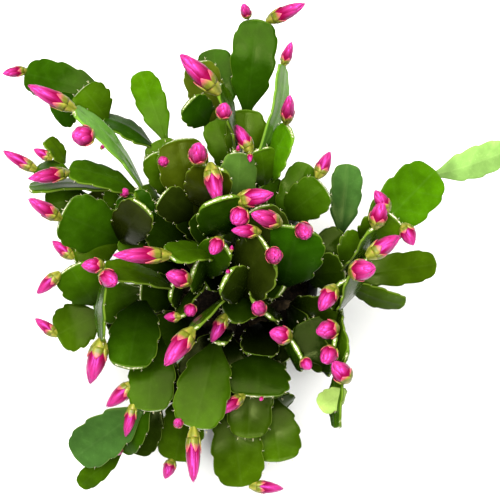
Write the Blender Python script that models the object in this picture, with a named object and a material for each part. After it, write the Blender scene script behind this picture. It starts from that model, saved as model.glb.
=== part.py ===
"""Easter cactus in a plain pot.

Leafy stems rise from the soil and arch outward. Each stem is a chain of flat
blades with scalloped margins, every blade growing from the blunt tip of the
one before it, and flower buds stand on the tips. Metres, +Z up. The pot
stands on z = 0 with its axis on x = y = 0. Places in the stem lists are in
millimetres and are turned to metres by MM.
"""
import math
import random

import bmesh
import bpy
from mathutils import Matrix, Vector

MM = 0.001
GAP = 0.3 * MM

# Pot
POT_HEIGHT = 92 * MM
POT_BASE_RADIUS = 37.5 * MM
POT_TOP_RADIUS = 49 * MM
POT_RIM_RADIUS = 52.5 * MM
POT_RIM_DEPTH = 11 * MM
POT_WALL = 1.8 * MM
POT_FLOOR = 2.2 * MM
POT_LIP = 1.2 * MM
POT_BOTTOM_ROUND = 1.5 * MM
POT_SIDES = 32
DRAIN_HOLES = 5
DRAIN_RADIUS = 4.5 * MM
DRAIN_CIRCLE = 24 * MM
DRAIN_SIDES = 8

# Soil
SOIL_TOP = 84 * MM
SOIL_LUMP = 1.6 * MM
SOIL_EDGE_DEPTH = 10 * MM
SOIL_RINGS = 3
SOIL_SIDES = 16
SOIL_SEED = 5
HOLE_DEPTH = 26 * MM
HOLE_CLEAR = 9 * MM

# Woody foot of a stem, which stands in its hole in the soil
FOOT_RADIUS = 4.6 * MM
FOOT_BEND = SOIL_TOP + 3 * MM
FOOT_TOP = 107 * MM
FOOT_TOP_RADIUS = 3.6 * MM
FOOT_SIDES = 6

# Blades
BLADE_HALF = 1.0 * MM
ROOT_SINK = 2.2 * MM
ARCH = 0.07
TIP_SHARE = 0.50
SHOULDER_SHARE = 0.58

# Buds: layers are (place along, share of the radius, part of a step turned). A green bell-shaped
# cup swells to its full width, and the petals close above it to a point.
BUD_SINK = 1.6 * MM
BUD_SIDES = 5
BUD_LAYERS = ((0.0, 0.48, 0), (0.13, 0.94, 0), (0.34, 1.0, 0), (0.62, 0.78, 0.5), (1.0, 0.05, 0))
SMALL_BUD = 7
SMALL_BUD_LAYERS = ((0.0, 0.55, 0), (0.6, 1.0, 0), (1.0, 0.05, 0))

# Places on the stems are given along lines of sight. The viewer stands in
# front of the plant and looks down on it. A place is how far across and up it
# is in the plane through SIGHT_TARGET square to the view, and its height.
SIGHT_ELEVATION = math.radians(68)
SIGHT_DISTANCE = 700 * MM
SIGHT_TARGET = Vector((9 * MM, 0, 150 * MM))
TO_VIEWER = Vector((0, -math.cos(SIGHT_ELEVATION), math.sin(SIGHT_ELEVATION)))
SIGHT_UP = Vector((0, math.sin(SIGHT_ELEVATION), math.cos(SIGHT_ELEVATION)))
VIEWER = SIGHT_TARGET + SIGHT_DISTANCE * TO_VIEWER

# Half outline of a blade: place along it, and share of its full half width.
# Three shallow scallops on each side, then the blunt tip.
OUTLINE = (
    (0.00, 0.20), (0.12, 0.44), (0.32, 0.86), (0.38, 0.81), (0.58, 1.00),
    (0.64, 0.94), (0.83, 0.91), (0.94, 0.74), (1.00, TIP_SHARE),
)

# Stems. foot is where a stem leaves the soil and where its woody part ends, x and y of each.
# A blade is (parent, at, place of its tip, width, turn): parent 0 is the foot, else the blade it
# grows from; at is where on the parent's blunt tip, -1 left to 1 right; turn is how far its face
# is turned from the viewer, in degrees. A bud is (blade, at, where its point is seen, length,
# thickness).
STEMS = {
    "back_left": {
        "foot": (-14, 15, -19, 21),
        "blades": [
            (0, 0, (-33, 32, 132), 26, 20),
            (1, 0, (-47, 64, 146), 25, 10),
            (2, -0.6, (-79, 77, 158), 24, 60),
            (3, 0, (-92, 95, 172), 26, 20),
            (4, 1.4, (-126, 104, 160), 25, 0),
            (4, -0.6, (-107, 77, 158), 22, 10),
            (2, 0.7, (-57, 105, 150), 20, 5),
            (1, -0.5, (-50, 56, 156), 20, 0),
        ],
        "buds": [
            (5, 0.3, (-140, 104), 18, 7),
            (5, 1.2, (-118, 115), 4, 2.6),
        ],
    },
    "left_high": {
        "foot": (-24, 8, -32, 11),
        "blades": [
            (0, 0, (-52, 14, 130), 26, 30),
            (1, 0, (-56, 37, 144), 24, 55),
            (2, 0, (-97, 83, 190), 24, 72),
            (2, -1, (-100, 47, 160), 24, 50),
            (4, -0.5, (-119, 46, 145), 14, 30),
            (5, 1.6, (-113, 65, 165), 14, 50),
            (1, -0.6, (-64, 33, 148), 24, 0),
        ],
        "buds": [
            (3, 0, (-124, 97), 30, 10),
            (3, -1.25, (-97, 67), 16, 13),
            (3, -1.4, (-78, 62), 5, 2.6),
            (4, -0.6, (-124, 41), 30, 9.5),
            (6, -1.6, (-125, 61), 12, 6.5),
            (5, 0, (-140, 58), 24, 8),
            (7, -0.4, (-66, 34), 8, 6),
        ],
    },
    "left": {
        "foot": (-32, -2, -40, 1),
        "blades": [
            (0, 0, (-68, 8, 122), 26, 20),
            (1, 0.6, (-72, 36, 126), 22, 30),
            (2, 0, (-124, 35, 140), 22, 66),
            (1, 0.2, (-88, 31, 114), 24, 10),
            (1, -0.4, (-104, 20, 148), 36, 0),
            (4, 0, (-114, 26, 122), 20, 10),
            (1, -1, (-98, -4, 132), 22, 10),
            (1, -0.6, (-55, 25, 165), 26, 0),
        ],
        "buds": [
            (5, -0.3, (-124, 29), 24, 9.5),
            (7, -0.4, (-110, 4), 16, 8),
        ],
    },
    "left_low": {
        "foot": (-28, -14, -37, -15),
        "blades": [
            (0, 0, (-57, -26, 124), 25, 10),
            (1, 0, (-84, -38, 110), 24, 0),
            (2, 0.5, (-99, -12, 138), 27, 0),
            (2, -0.5, (-107, -53, 104), 30, 10),
            (0, 0.5, (-38, -24, 150), 22, 60),
            (5, 0, (-79, -13, 166), 22, 60),
            (6, -1, (-80, -56, 146), 22, 70),
            (1, -0.8, (-64, -73, 140), 31, 0),
            (0, 0.3, (-78, -46, 100), 36, 0),
        ],
        "buds": [
            (3, -1, (-120, -29), 18, 8.5),
            (4, 0, (-121, -42), 17, 7.5),
            (6, 0.5, (-92, -11), 14, 9.5),
            (6, -0.9, (-72, -22), 15, 11),
            (7, 0, (-87, -82), 26, 12),
        ],
    },
    "front_left": {
        "foot": (-18, -26, -25, -32),
        "blades": [
            (0, 0, (-48, -54, 122), 25, 10),
            (1, 0, (-52, -99, 124), 29, 5),
            (2, 0.5, (-96, -126, 100), 28, 0),
            (2, 0, (-68, -122, 98), 18, 10),
            (4, 0, (-93, -143, 78), 14, 0),
            (1, -0.8, (-46, -94, 98), 26, 0),
            (6, 0, (-60, -124, 82), 22, 0),
        ],
        "buds": [
            (2, 1.35, (-81, -99), 21, 10),
            (2, 1.1, (-66, -115), 20, 7.5),
            (4, 0.4, (-71, -124), 8, 6),
        ],
    },
    "front": {
        "foot": (-4, -30, -6, -38),
        "blades": [
            (0, 0, (-10, -58, 136), 14, 30),
            (1, 0.4, (-25, -109, 134), 32, 0),
            (0, 0.5, (-28, -88, 100), 32, 0),
            (3, 0, (-36, -128, 72), 29, 0),
            (0, -0.5, (-2, -92, 104), 26, 0),
            (5, 0, (4, -144, 84), 32, 0),
        ],
        "buds": [
            (2, 0.9, (-35, -104), 8, 6),
            (2, 0, (-25, -142), 32, 9),
            (4, 0.2, (-42, -139), 13, 8.5),
            (6, -0.6, (29, -145), 20, 8),
        ],
    },
    "front_right": {
        "foot": (12, -26, 17, -33),
        "blades": [
            (0, 0, (14, -66, 116), 25, 0),
            (1, 0, (13, -90, 122), 40, 0),
            (1, 0.5, (8, -115, 104), 28, 0),
            (0, -0.5, (22, -92, 96), 25, 0),
            (4, 0, (27, -129, 86), 30, 0),
            (4, -0.5, (31, -95, 80), 16, 0),
            (0, -0.8, (35, -65, 112), 20, 10),
            (7, 0, (37, -61, 153), 26, -44),
        ],
        "buds": [
            (2, 0.7, (-10, -100), 22, 8),
            (2, -0.3, (15, -92), 4, 2.6),
            (8, -1, (21, -51), 14, 11),
            (8, 1, (45, -73), 9, 7.5),
        ],
    },
    "right_low": {
        "foot": (24, -16, 33, -21),
        "blades": [
            (0, 0, (56, -73, 114), 22, 30),
            (1, 0, (45, -43, 121), 30, 0),
            (0, 0.5, (64, -38, 136), 22, 30),
            (3, 0, (75, -10, 168), 34, 68),
            (3, 0.3, (66, -68, 148), 22, 74),
            (5, 0, (61, -109, 136), 24, 78),
            (6, -1.5, (51, -96, 140), 14, 10),
            (1, 0.5, (60, -55, 150), 26, 90),
            (3, 0, (64, -21, 158), 20, 40),
        ],
        "buds": [
            (9, -1, (51, -38), 18, 11),
            (4, -1, (84, -13), 18, 13),
            (4, 1, (101, 8), 22, 11),
            (8, 1, (49, -51), 15, 12),
            (8, -1, (53, -69), 14, 11),
            (6, -1.68, (59, -69), 15, 12),
        ],
    },
    "right": {
        "foot": (32, 0, 41, 2),
        "blades": [
            (0, 0, (66, -14, 128), 26, 20),
            (1, 0, (84, 12, 156), 24, 72),
            (1, -0.4, (78, 6, 134), 26, 20),
            (3, 0.2, (120, 46, 138), 34, 0),
            (4, 0.2, (163, 58, 136), 21, 15),
            (1, 0.5, (77, 4, 132), 22, 0),
            (6, 0, (96, 18, 160), 25, 10),
            (1, 0.4, (121, -10, 122), 21, 5),
            (1, 1, (102, -34, 112), 17, 45),
            (0, -0.8, (65, 9, 118), 19, 0),
            (10, 0, (68, 50, 132), 21, 5),
        ],
        "buds": [
            (2, 0, (89, 28), 18, 11),
            (7, -0.8, (84, 34), 15, 9),
            (7, 1, (107, 1), 14, 10),
        ],
    },
    "back_right": {
        "foot": (24, 14, 31, 19),
        "blades": [
            (0, 0, (26, 17, 138), 24, 20),
            (1, 0, (44, 50, 150), 20, 0),
            (1, 0.6, (54, 36, 156), 26, 0),
            (0, -0.6, (19, 40, 146), 24, 30),
            (4, 0.5, (33, 71, 182), 24, -55),
            (4, -0.5, (15, 59, 170), 22, 20),
            (6, 0, (29, 109, 176), 22, 66),
        ],
        "buds": [
            (3, -1, (58, 59), 17, 9),
            (5, -0.8, (33, 91), 24, 8.5),
            (7, 0, (34, 123), 17, 7),
            (6, -1, (-1, 77), 18, 9),
        ],
    },
    "back": {
        "foot": (6, 24, 6, 31),
        "blades": [
            (0, 0, (4, 44, 134), 25, 0),
            (1, 0.2, (7, 83, 160), 26, 0),
            (2, 0, (14, 137, 195), 28, 0),
            (1, -0.6, (-12, 78, 150), 22, 0),
            (4, -0.8, (-28, 87, 170), 22, 0),
            (4, -0.2, (-23, 111, 182), 24, 10),
            (4, 0.6, (-13, 119, 170), 25, 0),
            (1, -0.2, (0, 60, 168), 20, 66),
            (8, 0, (-10, 96, 202), 24, 76),
        ],
        "buds": [
            (3, -0.8, (5, 146), 13, 7),
            (3, 0.8, (42, 146), 27, 9.5),
            (9, -0.8, (-33, 116), 32, 12),
            (9, -1.35, (-6, 86), 12, 9.5),
        ],
    },
    "middle": {
        "foot": (0, 4, 0, 6),
        "blades": [
            (0, 0, (-6, 10, 150), 24, 40),
            (1, -0.2, (-10, 29, 200), 31, 12),
            (0, 0.6, (30, -24, 142), 24, 0),
            (1, 0.4, (3, 57, 178), 24, 20),
            (0, -0.5, (-22, 22, 142), 24, 0),
            (5, 0.5, (-14, 49, 190), 29, 0),
            (5, -0.5, (-34, 65, 172), 32, 0),
            (3, -0.8, (13, 24, 190), 28, 0),
            (3, 0, (38, 12, 182), 38, 0),
            (0, 1, (8, -26, 142), 22, 0),
            (10, 0.8, (20, -1, 186), 40, -35),
            (0, -0.8, (-20, -20, 130), 22, 0),
            (0, -1, (-12, -4, 160), 22, 40),
            (13, 0, (-40, -5, 180), 24, 58),
            (12, 1, (-6, 1, 180), 22, 0),
            (12, 0, (-25, -14, 164), 24, 35),
            (10, -0.3, (-26, -50, 162), 20, 84),
            (10, 0, (-6, -19, 180), 24, 0),
            (0, 0.6, (20, -34, 128), 20, 0),
            (19, -0.4, (-6, -41, 140), 20, 30),
            (19, 0.4, (16, -38, 160), 26, 0),
            (5, -0.8, (-44, 31, 158), 22, 0),
            (12, -0.5, (-33, -42, 140), 12, 60),
        ],
        "buds": [
            (2, 1.2, (23, 32), 22, 11),
            (8, -1, (-1, 15), 12, 12),
            (4, -0.2, (2, 61), 5, 2.6),
            (4, 0.9, (9, 51), 7, 3.5),
            (6, -1, (-22, 62), 18, 11.5),
            (6, -0.1, (-10, 26), 24, 11),
            (9, -1, (10, 20), 22, 10.5),
            (9, 0.2, (43, 7), 18, 10.5),
            (11, -1, (-2, 10), 18, 8),
            (11, 0.4, (25, -5), 18, 10),
            (15, -0.7, (-14, -4), 15, 9),
            (15, 0.8, (-1, 5), 4, 2.6),
            (14, 0, (-73, -5), 34, 10),
            (16, -1, (-41, -16), 17, 11),
            (17, 0, (-42, -71), 27, 12),
            (18, 0.7, (-5, -15), 4, 2.6),
            (20, 0, (-14, -57), 18, 8.5),
            (21, 0, (12, -35), 16, 9),
            (23, 0, (-43, -42), 9.5, 6.5),
            (23, -1.25, (-28, -40), 9, 8),
            (7, -1.25, (-44, 52), 8, 7),
        ],
    },
}

# Finishes: linear colour and roughness
FINISHES = {
    "stem_green": ((0.045, 0.16, 0.012, 1), 0.38),
    "bud_magenta": ((0.78, 0.02, 0.32, 1), 0.45),
    "pot_plastic": ((0.018, 0.019, 0.018, 1), 0.45),
    "potting_soil": ((0.045, 0.026, 0.015, 1), 0.95),
}


def clear_scene():
    for thing in list(bpy.data.objects):
        bpy.data.objects.remove(thing, do_unlink=True)


def finish(name):
    colour, roughness = FINISHES[name]
    material = bpy.data.materials.new(name)
    material.use_nodes = True
    shader = material.node_tree.nodes["Principled BSDF"]
    shader.inputs["Base Color"].default_value = colour
    shader.inputs["Roughness"].default_value = roughness
    shader.inputs["Metallic"].default_value = 0
    return material


def add_object(name, shape, *materials):
    """Makes a named object of a shape, with its faces pointing out."""
    bmesh.ops.recalc_face_normals(shape, faces=shape.faces)
    mesh = bpy.data.meshes.new(name)
    shape.to_mesh(mesh)
    shape.free()
    for material in materials:
        mesh.materials.append(material)
    thing = bpy.data.objects.new(name, mesh)
    bpy.context.scene.collection.objects.link(thing)
    return thing


def apply_modifiers(thing):
    graph = bpy.context.evaluated_depsgraph_get()
    mesh = bpy.data.meshes.new_from_object(thing.evaluated_get(graph))
    thing.modifiers.clear()
    thing.data = mesh


def boolean(body, parts, operation, solver="EXACT"):
    """Joins parts to a body or cuts them from it, and removes the parts."""
    group = bpy.data.collections.new(body.name + "_parts")
    bpy.context.scene.collection.children.link(group)
    for part in parts:
        group.objects.link(part)
    step = body.modifiers.new(operation.lower(), "BOOLEAN")
    step.operation = operation
    step.solver = solver
    step.operand_type = "COLLECTION"
    step.collection = group
    apply_modifiers(body)
    for part in parts:
        bpy.data.objects.remove(part, do_unlink=True)
    bpy.data.collections.remove(group)


def keep_outer_shell(thing):
    """Fills hollows that joining has sealed: only the shell with the most faces stays."""
    shape = bmesh.new()
    shape.from_mesh(thing.data)
    unseen = set(shape.faces)
    shells = []
    while unseen:
        border = [unseen.pop()]
        shell = list(border)
        while border:
            face = border.pop()
            near = {other for edge in face.edges for other in edge.link_faces} & unseen
            unseen -= near
            shell.extend(near)
            border.extend(near)
        shells.append(shell)
    shells.sort(key=len)
    for shell in shells[:-1]:
        bmesh.ops.delete(shape, geom=shell, context="FACES")
    shape.to_mesh(thing.data)
    shape.free()


def rings_to_solid(shape, rings):
    """Joins rings of points, all alike in number, and closes both ends."""
    loops = [[shape.verts.new(point) for point in ring] for ring in rings]
    count = len(loops[0])
    for lower, upper in zip(loops, loops[1:]):
        for i in range(count):
            j = (i + 1) % count
            shape.faces.new((lower[i], lower[j], upper[j], upper[i]))
    shape.faces.new(loops[0])
    shape.faces.new(loops[-1])
    return loops


def turned(radius, height, sides, phase=0.0):
    """A level ring of points round the Z axis."""
    turns = [phase + 2 * math.pi * i / sides for i in range(sides)]
    return [Vector((radius * math.cos(a), radius * math.sin(a), height)) for a in turns]


def cylinder(name, radius, low, high, sides, centre=(0, 0)):
    shape = bmesh.new()
    rings_to_solid(shape, [turned(radius, low, sides), turned(radius, high, sides)])
    bmesh.ops.translate(shape, verts=shape.verts, vec=(centre[0], centre[1], 0))
    return add_object(name, shape)


def inner_radius(height):
    """Inside radius of the pot wall at a height."""
    rise = height / (POT_HEIGHT - POT_RIM_DEPTH)
    return POT_BASE_RADIUS + (POT_TOP_RADIUS - POT_BASE_RADIUS) * rise - POT_WALL


def make_pot():
    shoulder = POT_HEIGHT - POT_RIM_DEPTH
    profile = (
        (POT_BASE_RADIUS - POT_BOTTOM_ROUND, 0),
        (POT_BASE_RADIUS, POT_BOTTOM_ROUND),
        (POT_TOP_RADIUS, shoulder),
        (POT_RIM_RADIUS - POT_LIP, shoulder + POT_LIP / 2),
        (POT_RIM_RADIUS, shoulder + 2 * POT_LIP),
        (POT_RIM_RADIUS + POT_LIP / 2, POT_HEIGHT - POT_LIP),
        (POT_RIM_RADIUS, POT_HEIGHT),
        (POT_RIM_RADIUS - POT_WALL, POT_HEIGHT),
        (inner_radius(shoulder), shoulder + POT_LIP),
        (inner_radius(POT_FLOOR), POT_FLOOR),
    )
    shape = bmesh.new()
    rings_to_solid(shape, [turned(radius, height, POT_SIDES) for radius, height in profile])
    pot = add_object("pot", shape, finish("pot_plastic"))
    holes = []
    for i in range(DRAIN_HOLES):
        turn = 2 * math.pi * (i + 0.5) / DRAIN_HOLES
        centre = (DRAIN_CIRCLE * math.cos(turn), DRAIN_CIRCLE * math.sin(turn))
        holes.append(cylinder("drain", DRAIN_RADIUS, -POT_FLOOR, 2 * POT_FLOOR, DRAIN_SIDES, centre))
    boolean(pot, holes, "DIFFERENCE")
    return pot


def make_soil():
    """A plug of soil that fills the pot, with a lumpy top and a plain hole for each foot."""
    lumps = random.Random(SOIL_SEED)
    edge = SOIL_TOP - SOIL_EDGE_DEPTH
    rings = [turned(inner_radius(height) - GAP, height, SOIL_SIDES)
             for height in (POT_FLOOR + GAP, edge)]
    for i in range(SOIL_RINGS):
        radius = (inner_radius(edge) - GAP) * (1 - i / SOIL_RINGS)
        ring = turned(radius, SOIL_TOP, SOIL_SIDES)
        for point in ring:
            point.z += lumps.uniform(-SOIL_LUMP, SOIL_LUMP)
        rings.append(ring)
    shape = bmesh.new()
    rings_to_solid(shape, rings)
    bmesh.ops.triangulate(shape, faces=shape.faces)
    soil = add_object("soil", shape, finish("potting_soil"))
    holes = []
    for stem in STEMS.values():
        x, y = stem["foot"][:2]
        holes.append(cylinder("hole", FOOT_RADIUS + GAP, SOIL_TOP - HOLE_DEPTH,
                              SOIL_TOP + HOLE_CLEAR, FOOT_SIDES, (x * MM, y * MM)))
    boolean(soil, holes, "DIFFERENCE")
    return soil


def on_sight(place):
    """World point of a place given as across, up and height."""
    across, up, height = (value * MM for value in place)
    ray = SIGHT_TARGET + (across - SIGHT_TARGET.x) * Vector((1, 0, 0)) + up * SIGHT_UP - VIEWER
    return VIEWER + ray * ((height - VIEWER.z) / ray.z)


def blade_frame(root, tip, turn):
    """Unit vectors along a blade, across it and out of its face, and its length."""
    along = tip - root
    length = along.length
    along.normalize()
    face = (TO_VIEWER - TO_VIEWER.dot(along) * along).normalized()
    face = Matrix.Rotation(math.radians(turn), 3, along) @ face
    return along, along.cross(face), face, length


def rim_point(blade, at):
    """Point on a blade's blunt tip, at -1 left to 1 right; past 1 it goes on down the margin."""
    back = max(0.0, abs(at) - 1)
    across = max(-1.0, min(1.0, at)) * (SHOULDER_SHARE + 0.5 * back) * blade["width"] / 2
    return blade["tip"] + blade["across"] * across - blade["along"] * back * blade["length"]


def place_blades(stem):
    """Works out where each blade of a stem lies."""
    x, y, top_x, top_y = (value * MM for value in stem["foot"])
    foot_top = Vector((top_x, top_y, FOOT_TOP))
    blades = []
    for parent, at, place, width, turn in stem["blades"]:
        if parent == 0:
            root = foot_top + Vector((at * FOOT_TOP_RADIUS, 0, -ROOT_SINK))
        else:
            below = blades[parent - 1]
            root = rim_point(below, at) - ROOT_SINK * below["along"]
        tip = on_sight(place)
        along, across, face, length = blade_frame(root, tip, turn)
        blades.append({"root": root, "tip": tip, "along": along, "across": across, "face": face,
                       "length": length, "width": width * MM})
    return blades


def make_blade(blade):
    """A flat joint of the stem: scalloped margins and a blunt tip, gently arched."""
    rings = []
    for t, share in OUTLINE:
        half = share * blade["width"] / 2
        centre = blade["root"] + blade["along"] * blade["length"] * t
        centre += blade["face"] * blade["length"] * ARCH * math.sin(math.pi * t)
        side = blade["across"] * half
        depth = blade["face"] * BLADE_HALF
        rings.append([centre - side + depth, centre + side + depth,
                      centre + side - depth, centre - side - depth])
    shape = bmesh.new()
    rings_to_solid(shape, rings)
    return shape


def bud_axis(blade, at, seen, length):
    """Root and tip of a bud that stands on a blade's tip and ends on its line of sight."""
    root = rim_point(blade, at)
    across, up = (value * MM for value in seen)
    ray = SIGHT_TARGET + (across - SIGHT_TARGET.x) * Vector((1, 0, 0)) + up * SIGHT_UP - VIEWER
    ray.normalize()
    along = (root - VIEWER).dot(ray)
    near = VIEWER + along * ray
    off = (root - near).length
    reach = length * MM
    if off < reach:
        tip = near - ray * math.sqrt(reach ** 2 - off ** 2)
    else:
        tip = root + (near - root).normalized() * reach
    return root, tip


def make_bud(blade, at, seen, length, thickness):
    """A bud: a green bell-shaped cup, then petals closed to a point."""
    root, tip = bud_axis(blade, at, seen, length)
    axis = (tip - root).normalized()
    small = length < SMALL_BUD
    turn = Vector((0, 0, 1)).rotation_difference(axis).to_matrix()
    rings = []
    for t, share, phase in SMALL_BUD_LAYERS if small else BUD_LAYERS:
        height = t * (length * MM + BUD_SINK) - BUD_SINK
        ring = turned(share * thickness * MM / 2, height, BUD_SIDES, phase * 2 * math.pi / BUD_SIDES)
        rings.append([root + turn @ point for point in ring])
    shape = bmesh.new()
    loops = rings_to_solid(shape, rings)
    cup = set(loops[0]) | set(loops[1]) | set(loops[2])
    for face in shape.faces:
        is_cup = not small and all(corner in cup for corner in face.verts)
        face.material_index = 0 if is_cup else 1
    bmesh.ops.pointmerge(shape, verts=loops[-1], merge_co=tip)
    return shape


def make_foot(name, stem, *materials):
    x, y, top_x, top_y = (value * MM for value in stem["foot"])
    rings = []
    for radius, height, share in ((FOOT_RADIUS, SOIL_TOP - HOLE_DEPTH + GAP, 0),
                                  (FOOT_RADIUS, FOOT_BEND, 0), (FOOT_TOP_RADIUS, FOOT_TOP, 1)):
        centre = Vector((x + (top_x - x) * share, y + (top_y - y) * share, 0))
        rings.append([point + centre for point in turned(radius, height, FOOT_SIDES)])
    shape = bmesh.new()
    rings_to_solid(shape, rings)
    return add_object(name, shape, *materials)


def make_stem(name, stem, green, magenta):
    """One leafy stem: foot, blades and buds, joined in one solid."""
    blades = place_blades(stem)
    body = make_foot("stem_" + name, stem, green, magenta)
    parts = [add_object("blade", make_blade(blade), green, magenta) for blade in blades]
    for number, *bud in stem["buds"]:
        parts.append(add_object("bud", make_bud(blades[number - 1], *bud), green, magenta))
    boolean(body, parts, "UNION")
    keep_outer_shell(body)
    return body


def main():
    clear_scene()
    make_pot()
    make_soil()
    green = finish("stem_green")
    magenta = finish("bud_magenta")
    for name, stem in STEMS.items():
        make_stem(name, stem, green, magenta)


main()
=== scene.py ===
# %% [markdown]
# # An easter cactus in a plain pot
#
# An easter cactus has no leaves. Its stems are chains of flat green joints, and each
# new joint, and each bud, grows from a woolly line on the blunt tip of an old one.
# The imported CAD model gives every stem, the soil and the pot as plain solids. This
# lesson models finer pieces that keep the form of those solids and stand for them.
# Each thing that repeats, such as a joint, a bud or a bristle, is modelled once by
# hand methods at its real size, copied, and laid where the CAD solid has it.

# %% The frame and the CAD box
import math
import random

import bmesh
import bpy
import numpy as np
from mathutils import Matrix, Vector


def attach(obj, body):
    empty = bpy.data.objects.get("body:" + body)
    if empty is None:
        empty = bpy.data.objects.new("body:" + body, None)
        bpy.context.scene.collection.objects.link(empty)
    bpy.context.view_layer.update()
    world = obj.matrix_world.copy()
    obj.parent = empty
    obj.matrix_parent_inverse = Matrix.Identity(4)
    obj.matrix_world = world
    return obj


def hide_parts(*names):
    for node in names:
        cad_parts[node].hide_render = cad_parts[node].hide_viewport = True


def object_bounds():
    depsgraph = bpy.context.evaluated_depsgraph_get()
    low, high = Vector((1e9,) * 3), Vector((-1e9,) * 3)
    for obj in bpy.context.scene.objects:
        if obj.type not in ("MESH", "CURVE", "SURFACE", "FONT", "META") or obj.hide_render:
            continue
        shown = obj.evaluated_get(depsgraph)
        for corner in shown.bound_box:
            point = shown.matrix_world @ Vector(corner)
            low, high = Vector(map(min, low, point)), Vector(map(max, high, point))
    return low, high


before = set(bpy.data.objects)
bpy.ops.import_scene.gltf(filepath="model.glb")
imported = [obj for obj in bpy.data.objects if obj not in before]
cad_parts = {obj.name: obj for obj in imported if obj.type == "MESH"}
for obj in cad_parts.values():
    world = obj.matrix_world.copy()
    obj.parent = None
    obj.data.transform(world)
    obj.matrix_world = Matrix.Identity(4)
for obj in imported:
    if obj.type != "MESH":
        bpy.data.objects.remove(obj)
cad_box = [list(corner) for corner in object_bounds()]
MM = 0.001
print("CAD nodes:", ", ".join(sorted(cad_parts)))

# %% [markdown]
# ## Tools for modelling
#
# A modeller selects some points or faces and then moves, scales, extrudes or insets
# them. These helpers do the selecting. A test is asked about each point, so that the
# operators which follow act on those points alone.

# %% Selecting and editing
def select_only(*things):
    """Selects these objects alone, and makes the first the active one."""
    bpy.ops.object.select_all(action="DESELECT")
    for thing in reversed(things):
        thing.select_set(True)
        bpy.context.view_layer.objects.active = thing


def add_primitive(name, operator, **settings):
    """Adds a primitive as the only selected object and names it."""
    select_only()
    operator(**settings)
    thing = bpy.context.object
    thing.name = name
    return thing


def start_edit(thing):
    """Goes into edit mode with one object alone."""
    select_only(thing)
    bpy.ops.object.mode_set(mode="EDIT")
    bpy.ops.mesh.select_mode(type="VERT")


def end_edit():
    bpy.ops.object.mode_set(mode="OBJECT")


def end_edit_outward():
    """Turns all faces outward and leaves edit mode."""
    bpy.ops.mesh.select_all(action="SELECT")
    bpy.ops.mesh.normals_make_consistent(inside=False)
    end_edit()


def choose(thing, test):
    """Selects the points that pass a test, in edit mode."""
    shape = bmesh.from_edit_mesh(thing.data)
    for point in shape.verts:
        point.select = bool(test(point))
    shape.select_flush_mode()
    bmesh.update_edit_mesh(thing.data)


def choose_faces(thing, test):
    """Selects the faces that pass a test, in edit mode."""
    shape = bmesh.from_edit_mesh(thing.data)
    for face in shape.faces:
        face.select_set(False)
    for face in shape.faces:
        if test(face):
            face.select_set(True)
    bmesh.update_edit_mesh(thing.data)


def resize(x, y, z, centre=(0, 0, 0)):
    bpy.ops.transform.resize(value=(x, y, z), center_override=centre)


def move(x, y, z):
    bpy.ops.transform.translate(value=(x, y, z))


# %% [markdown]
# Some forms are drawn up from a circle, ring by ring. Spinning a section would make
# most of them too, but a ring can also be moved aside, as a leaning foot needs. Each
# master also has marks that say where on it a point is, for its material to read.

# %% Shaping and finishing
def draw_up(name, sides, rings):
    """Extrudes a circle from ring to ring, each (radius, middle), and stays in edit mode."""
    radius, start = rings[0]
    form = add_primitive(name, bpy.ops.mesh.primitive_circle_add, vertices=sides, radius=radius,
                         location=start, fill_type="NGON")
    bpy.ops.object.transform_apply(location=True)
    start_edit(form)
    bpy.ops.mesh.select_all(action="SELECT")
    for (below, low), (above, high) in zip(rings, rings[1:]):
        bpy.ops.mesh.extrude_region_move(TRANSFORM_OT_translate={"value": Vector(high) - Vector(low)})
        resize(above / below, above / below, 1, high)
    return form


def read_points(thing):
    points = np.zeros(len(thing.data.vertices) * 3)
    thing.data.vertices.foreach_get("co", points)
    return points.reshape(-1, 3)


def mark_place(thing, places):
    """Holds in the attribute called place where on its master each point is."""
    layer = thing.data.attributes.new("place", "FLOAT_VECTOR", "POINT")
    for mark, place in zip(layer.data, places):
        mark.vector = place


def finish_with(thing, kind, **settings):
    """Adds a modifier with its settings and applies it."""
    bpy.context.view_layer.objects.active = thing
    step = thing.modifiers.new(kind.lower(), kind)
    for key, value in settings.items():
        setattr(step, key, value)
    bpy.ops.object.modifier_apply(modifier=step.name)


# %% [markdown]
# Copies are made of a finished master. Each has its own mesh, so it can be bent on
# its own, and what is alike on one stem is joined into one piece at the end.

# %% Copying and joining
def copy_of(master):
    thing = master.copy()
    thing.data = master.data.copy()
    bpy.context.scene.collection.objects.link(thing)
    return thing


def join(name, things):
    """Joins objects into one piece that is smooth shaded and has a name."""
    select_only(*things)
    bpy.ops.object.join()
    piece = bpy.context.view_layer.objects.active
    piece.name = name
    piece.data.name = name
    bpy.ops.object.shade_smooth()
    return piece


def remove(*things):
    for thing in things:
        bpy.data.objects.remove(thing, do_unlink=True)


def tell(name, thing):
    sizes = [round(size / MM, 1) for size in thing.dimensions]
    print(f"{name}: {len(thing.data.polygons)} faces, {sizes} mm")


# %% [markdown]
# ## Tools for materials
#
# Colours are written as the hex values that a colour picker shows, and one function
# turns them to the linear values that the shader needs. Another adds a node: its
# inputs, in order or by name, are each given a number or the output of another node,
# and its settings are its own values.

# %% Colours and nodes
def tint(hex_text):
    parts = [int(hex_text[i:i + 2], 16) / 255 for i in (1, 3, 5)]
    return [p / 12.92 if p <= 0.04045 else ((p + 0.055) / 1.055) ** 2.4 for p in parts] + [1]


def feed(material, node, inputs):
    for key, value in inputs.items() if isinstance(inputs, dict) else enumerate(inputs):
        if isinstance(value, bpy.types.NodeSocket):
            material.node_tree.links.new(value, node.inputs[key])
        else:
            node.inputs[key].default_value = value


def add_node(material, kind, inputs=(), **settings):
    node = material.node_tree.nodes.new("ShaderNode" + kind)
    for key, value in settings.items():
        setattr(node, key, value)
    feed(material, node, inputs)
    return node.outputs


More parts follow.
